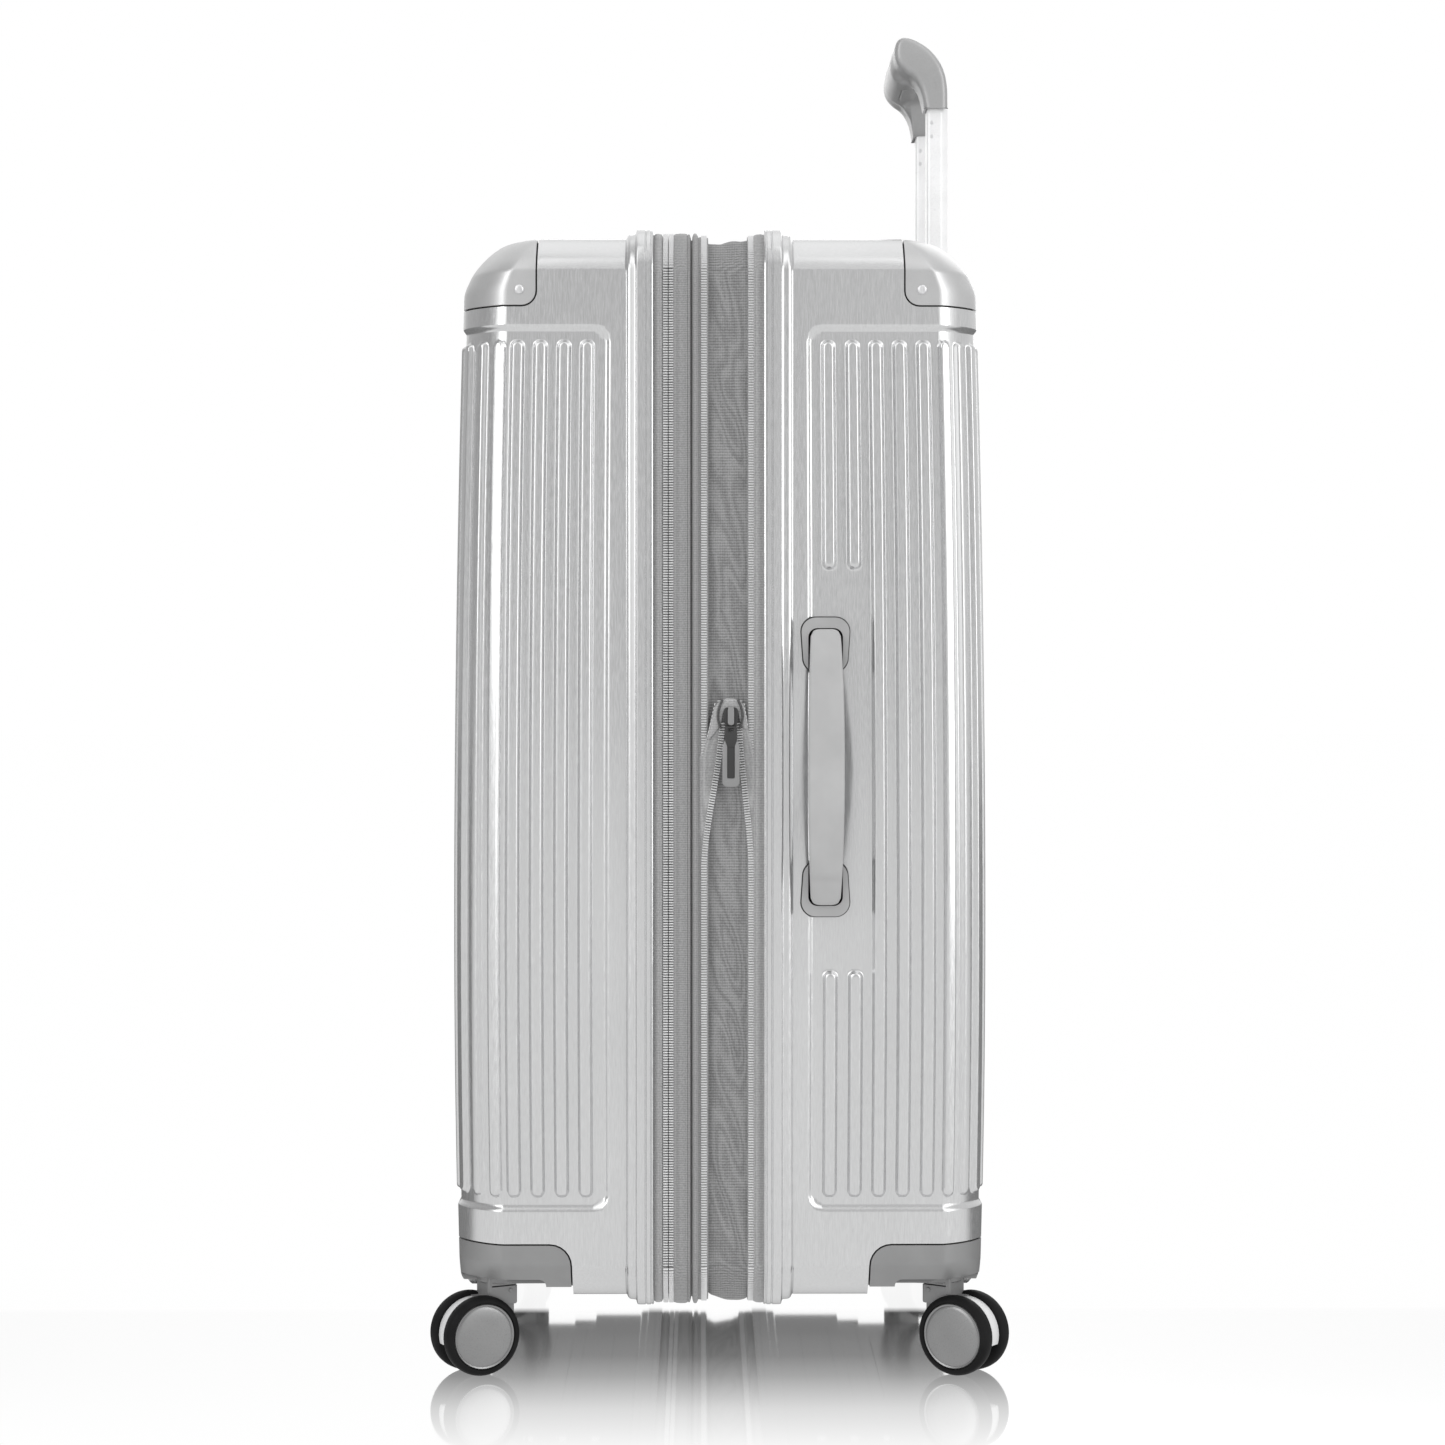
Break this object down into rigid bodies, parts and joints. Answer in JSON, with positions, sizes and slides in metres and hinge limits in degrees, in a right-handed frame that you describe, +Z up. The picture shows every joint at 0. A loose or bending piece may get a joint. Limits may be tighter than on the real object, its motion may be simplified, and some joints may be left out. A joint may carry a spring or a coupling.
{
  "type": "hard-shell spinner suitcase",
  "caption": "Large expandable hard-shell suitcase with vertical ribs, zip and gusset, side and top carry handles, telescopic pull handle and twin-wheel spinner casters.",
  "frame": {"origin": "on the floor, under the middle of the footprint", "axes": "+Z up; the front half shell is at -Y, the back half shell with the pull handle at +Y, the side carry handle at +X and the fabric hinge at -X"},
  "size_m": [0.5486, 0.3936, 0.9394],
  "materials": {
    "shell": "brushed metallic silver polycarbonate",
    "guard": "satin silver",
    "housing": "satin grey",
    "fabric": "woven nylon tape",
    "gusset": "woven nylon",
    "lining": "quilted polyester lining",
    "tube": "bright anodised",
    "grip": "satin grey",
    "tyre": "dark grey tyre with a satin grey cap",
    "zip_metal": "dark nickel"
  },
  "bodies": {
    "back_half": {"back_shell": "shell", "back_lining": "lining", "back_corner_guard_left": "guard", "back_corner_guard_right": "guard", "back_wheel_housing_left": "housing", "back_wheel_housing_right": "housing", "back_zip_tape": "fabric", "expansion_gusset": "gusset", "trolley_tray": "housing", "trolley_outer_tube_left": "tube", "trolley_outer_tube_right": "tube", "trolley_foot_bracket": "housing", "side_handle_plate_upper": "grip", "side_handle_plate_lower": "grip", "top_handle_plate_left": "grip", "top_handle_plate_right": "grip", "cross_strap": "fabric", "strap_buckle": "housing"},
    "frame_band": {"frame_band": "fabric", "hinge_strip": "fabric"},
    "front_half": {"front_shell": "shell", "front_lining": "lining", "front_corner_guard_left": "guard", "front_corner_guard_right": "guard", "front_wheel_housing_left": "housing", "front_wheel_housing_right": "housing", "front_zip_tape": "fabric", "lock_body": "housing"},
    "expansion_zip_end": {"expansion_zip_garage": "fabric"},
    "expansion_zip_slider": {"expansion_zip_slider": "zip_metal"},
    "expansion_zip_pull": {"expansion_zip_pull": "zip_metal"},
    "trolley_lower_stage": {"trolley_middle_tube_left": "tube", "trolley_middle_tube_right": "tube"},
    "trolley_upper_stage": {"trolley_inner_tube_left": "tube", "trolley_inner_tube_right": "tube", "trolley_grip": "grip"},
    "trolley_button": {"trolley_button": "grip"},
    "side_handle": {"side_handle_strap": "grip"},
    "top_handle": {"top_handle_strap": "grip"},
    "lock_release": {"lock_release": "zip_metal"},
    "main_zip_slider_left": {"main_zip_slider_left": "zip_metal"},
    "main_zip_pull_left": {"main_zip_pull_left": "zip_metal"},
    "main_zip_slider_right": {"main_zip_slider_right": "zip_metal"},
    "main_zip_pull_right": {"main_zip_pull_right": "zip_metal"},
    "lock_dial_1": {"lock_dial_1": "zip_metal"},
    "lock_dial_2": {"lock_dial_2": "zip_metal"},
    "lock_dial_3": {"lock_dial_3": "zip_metal"},
    "front_caster_left": {"front_caster_fork_left": "housing"},
    "front_wheel_outer_left": {"front_wheel_outer_left": "tyre"},
    "front_wheel_inner_left": {"front_wheel_inner_left": "tyre"},
    "front_caster_right": {"front_caster_fork_right": "housing"},
    "front_wheel_outer_right": {"front_wheel_outer_right": "tyre"},
    "front_wheel_inner_right": {"front_wheel_inner_right": "tyre"},
    "back_caster_left": {"back_caster_fork_left": "housing"},
    "back_wheel_outer_left": {"back_wheel_outer_left": "tyre"},
    "back_wheel_inner_left": {"back_wheel_inner_left": "tyre"},
    "back_caster_right": {"back_caster_fork_right": "housing"},
    "back_wheel_outer_right": {"back_wheel_outer_right": "tyre"},
    "back_wheel_inner_right": {"back_wheel_inner_right": "tyre"}
  },
  "joints": [
    {"name": "expansion_slide", "type": "slide", "parent": "back_half", "child": "frame_band", "axis": [0, 1, 0], "range_m": [0, 0.0245], "deforming": ["expansion_gusset"]},
    {"name": "lid_hinge", "type": "hinge", "parent": "frame_band", "child": "front_half", "pos_m": [-0.27775, -0.035, 0.41278], "axis": [0, 0, -1], "range_deg": [0, 180], "deforming": ["hinge_strip"]},
    {"name": "expansion_zip_end_shift", "type": "slide", "parent": "back_half", "child": "expansion_zip_end", "axis": [0, 1, 0], "range_m": [0, 0.0125]},
    {"name": "expansion_zip_run", "type": "slide", "parent": "expansion_zip_end", "child": "expansion_zip_slider", "axis": [0, 0, -1], "range_m": [0, 0.3]},
    {"name": "expansion_pull_hinge", "type": "hinge", "parent": "expansion_zip_slider", "child": "expansion_zip_pull", "pos_m": [0.26015, 0.005, 0.43992], "axis": [0, -1, 0], "range_deg": [0, 100]},
    {"name": "trolley_lower_slide", "type": "slide", "parent": "back_half", "child": "trolley_lower_stage", "axis": [0, 0, 1], "range_m": [0, 0.11]},
    {"name": "trolley_upper_slide", "type": "slide", "parent": "trolley_lower_stage", "child": "trolley_upper_stage", "axis": [0, 0, 1], "range_m": [-0.144, 0.055]},
    {"name": "trolley_button_press", "type": "slide", "parent": "trolley_upper_stage", "child": "trolley_button", "axis": [0, 0, 1], "range_m": [0, 0.003], "stiffness_N_per_m": 400},
    {"name": "side_handle_pull", "type": "slide", "parent": "back_half", "child": "side_handle", "axis": [1, 0, 0], "range_m": [0, 0.012], "stiffness_N_per_m": 600},
    {"name": "top_handle_pull", "type": "slide", "parent": "back_half", "child": "top_handle", "axis": [0, 0, 1], "range_m": [0, 0.012], "stiffness_N_per_m": 600},
    {"name": "lock_release_slide", "type": "slide", "parent": "front_half", "child": "lock_release", "axis": [0, -1, 0], "range_m": [0, 0.003], "stiffness_N_per_m": 300},
    {"name": "main_zip_run_left", "type": "slide", "parent": "frame_band", "child": "main_zip_slider_left", "axis": [-1, 0, 0], "range_m": [0, 0.19]},
    {"name": "main_pull_hinge_left", "type": "hinge", "parent": "main_zip_slider_left", "child": "main_zip_pull_left", "pos_m": [-0.03175, -0.035, 0.77709], "axis": [-1, 0, 0], "range_deg": [0, 140]},
    {"name": "main_zip_run_right", "type": "slide", "parent": "frame_band", "child": "main_zip_slider_right", "axis": [1, 0, 0], "range_m": [0, 0.19]},
    {"name": "main_pull_hinge_right", "type": "hinge", "parent": "main_zip_slider_right", "child": "main_zip_pull_right", "pos_m": [0.01625, -0.035, 0.77709], "axis": [-1, 0, 0], "range_deg": [0, 140]},
    {"name": "lock_dial_turn_1", "type": "hinge", "parent": "front_half", "child": "lock_dial_1", "pos_m": [-0.02975, -0.092, 0.77558], "axis": [1, 0, 0], "continuous": true},
    {"name": "lock_dial_turn_2", "type": "hinge", "parent": "front_half", "child": "lock_dial_2", "pos_m": [-0.01975, -0.092, 0.77558], "axis": [1, 0, 0], "continuous": true},
    {"name": "lock_dial_turn_3", "type": "hinge", "parent": "front_half", "child": "lock_dial_3", "pos_m": [-0.00975, -0.092, 0.77558], "axis": [1, 0, 0], "continuous": true},
    {"name": "front_caster_swivel_left", "type": "hinge", "parent": "front_half", "child": "front_caster_left", "pos_m": [-0.22575, -0.1512, 0.066], "axis": [0, 0, 1], "continuous": true},
    {"name": "front_wheel_roll_outer_left", "type": "hinge", "parent": "front_caster_left", "child": "front_wheel_outer_left", "pos_m": [-0.2342, -0.16709, 0.027], "axis": [-0.8829, 0.4695, 0], "continuous": true},
    {"name": "front_wheel_roll_inner_left", "type": "hinge", "parent": "front_caster_left", "child": "front_wheel_inner_left", "pos_m": [-0.2342, -0.16709, 0.027], "axis": [-0.8829, 0.4695, 0], "continuous": true},
    {"name": "front_caster_swivel_right", "type": "hinge", "parent": "front_half", "child": "front_caster_right", "pos_m": [0.21025, -0.1512, 0.066], "axis": [0, 0, 1], "continuous": true},
    {"name": "front_wheel_roll_outer_right", "type": "hinge", "parent": "front_caster_right", "child": "front_wheel_outer_right", "pos_m": [0.2187, -0.16709, 0.027], "axis": [0.8829, 0.4695, 0], "continuous": true},
    {"name": "front_wheel_roll_inner_right", "type": "hinge", "parent": "front_caster_right", "child": "front_wheel_inner_right", "pos_m": [0.2187, -0.16709, 0.027], "axis": [0.8829, 0.4695, 0], "continuous": true},
    {"name": "back_caster_swivel_left", "type": "hinge", "parent": "back_half", "child": "back_caster_left", "pos_m": [-0.22575, 0.1512, 0.066], "axis": [0, 0, 1], "continuous": true},
    {"name": "back_wheel_roll_outer_left", "type": "hinge", "parent": "back_caster_left", "child": "back_wheel_outer_left", "pos_m": [-0.23607, 0.16595, 0.027], "axis": [-0.8192, -0.5736, 0], "continuous": true},
    {"name": "back_wheel_roll_inner_left", "type": "hinge", "parent": "back_caster_left", "child": "back_wheel_inner_left", "pos_m": [-0.23607, 0.16595, 0.027], "axis": [-0.8192, -0.5736, 0], "continuous": true},
    {"name": "back_caster_swivel_right", "type": "hinge", "parent": "back_half", "child": "back_caster_right", "pos_m": [0.21025, 0.1512, 0.066], "axis": [0, 0, 1], "continuous": true},
    {"name": "back_wheel_roll_outer_right", "type": "hinge", "parent": "back_caster_right", "child": "back_wheel_outer_right", "pos_m": [0.22057, 0.16595, 0.027], "axis": [0.8192, -0.5736, 0], "continuous": true},
    {"name": "back_wheel_roll_inner_right", "type": "hinge", "parent": "back_caster_right", "child": "back_wheel_inner_right", "pos_m": [0.22057, 0.16595, 0.027], "axis": [0.8192, -0.5736, 0], "continuous": true}
  ],
  "couplings": [
    {"joint": "expansion_zip_end_shift", "follows": "expansion_slide", "ratio": 0.5}
  ]
}
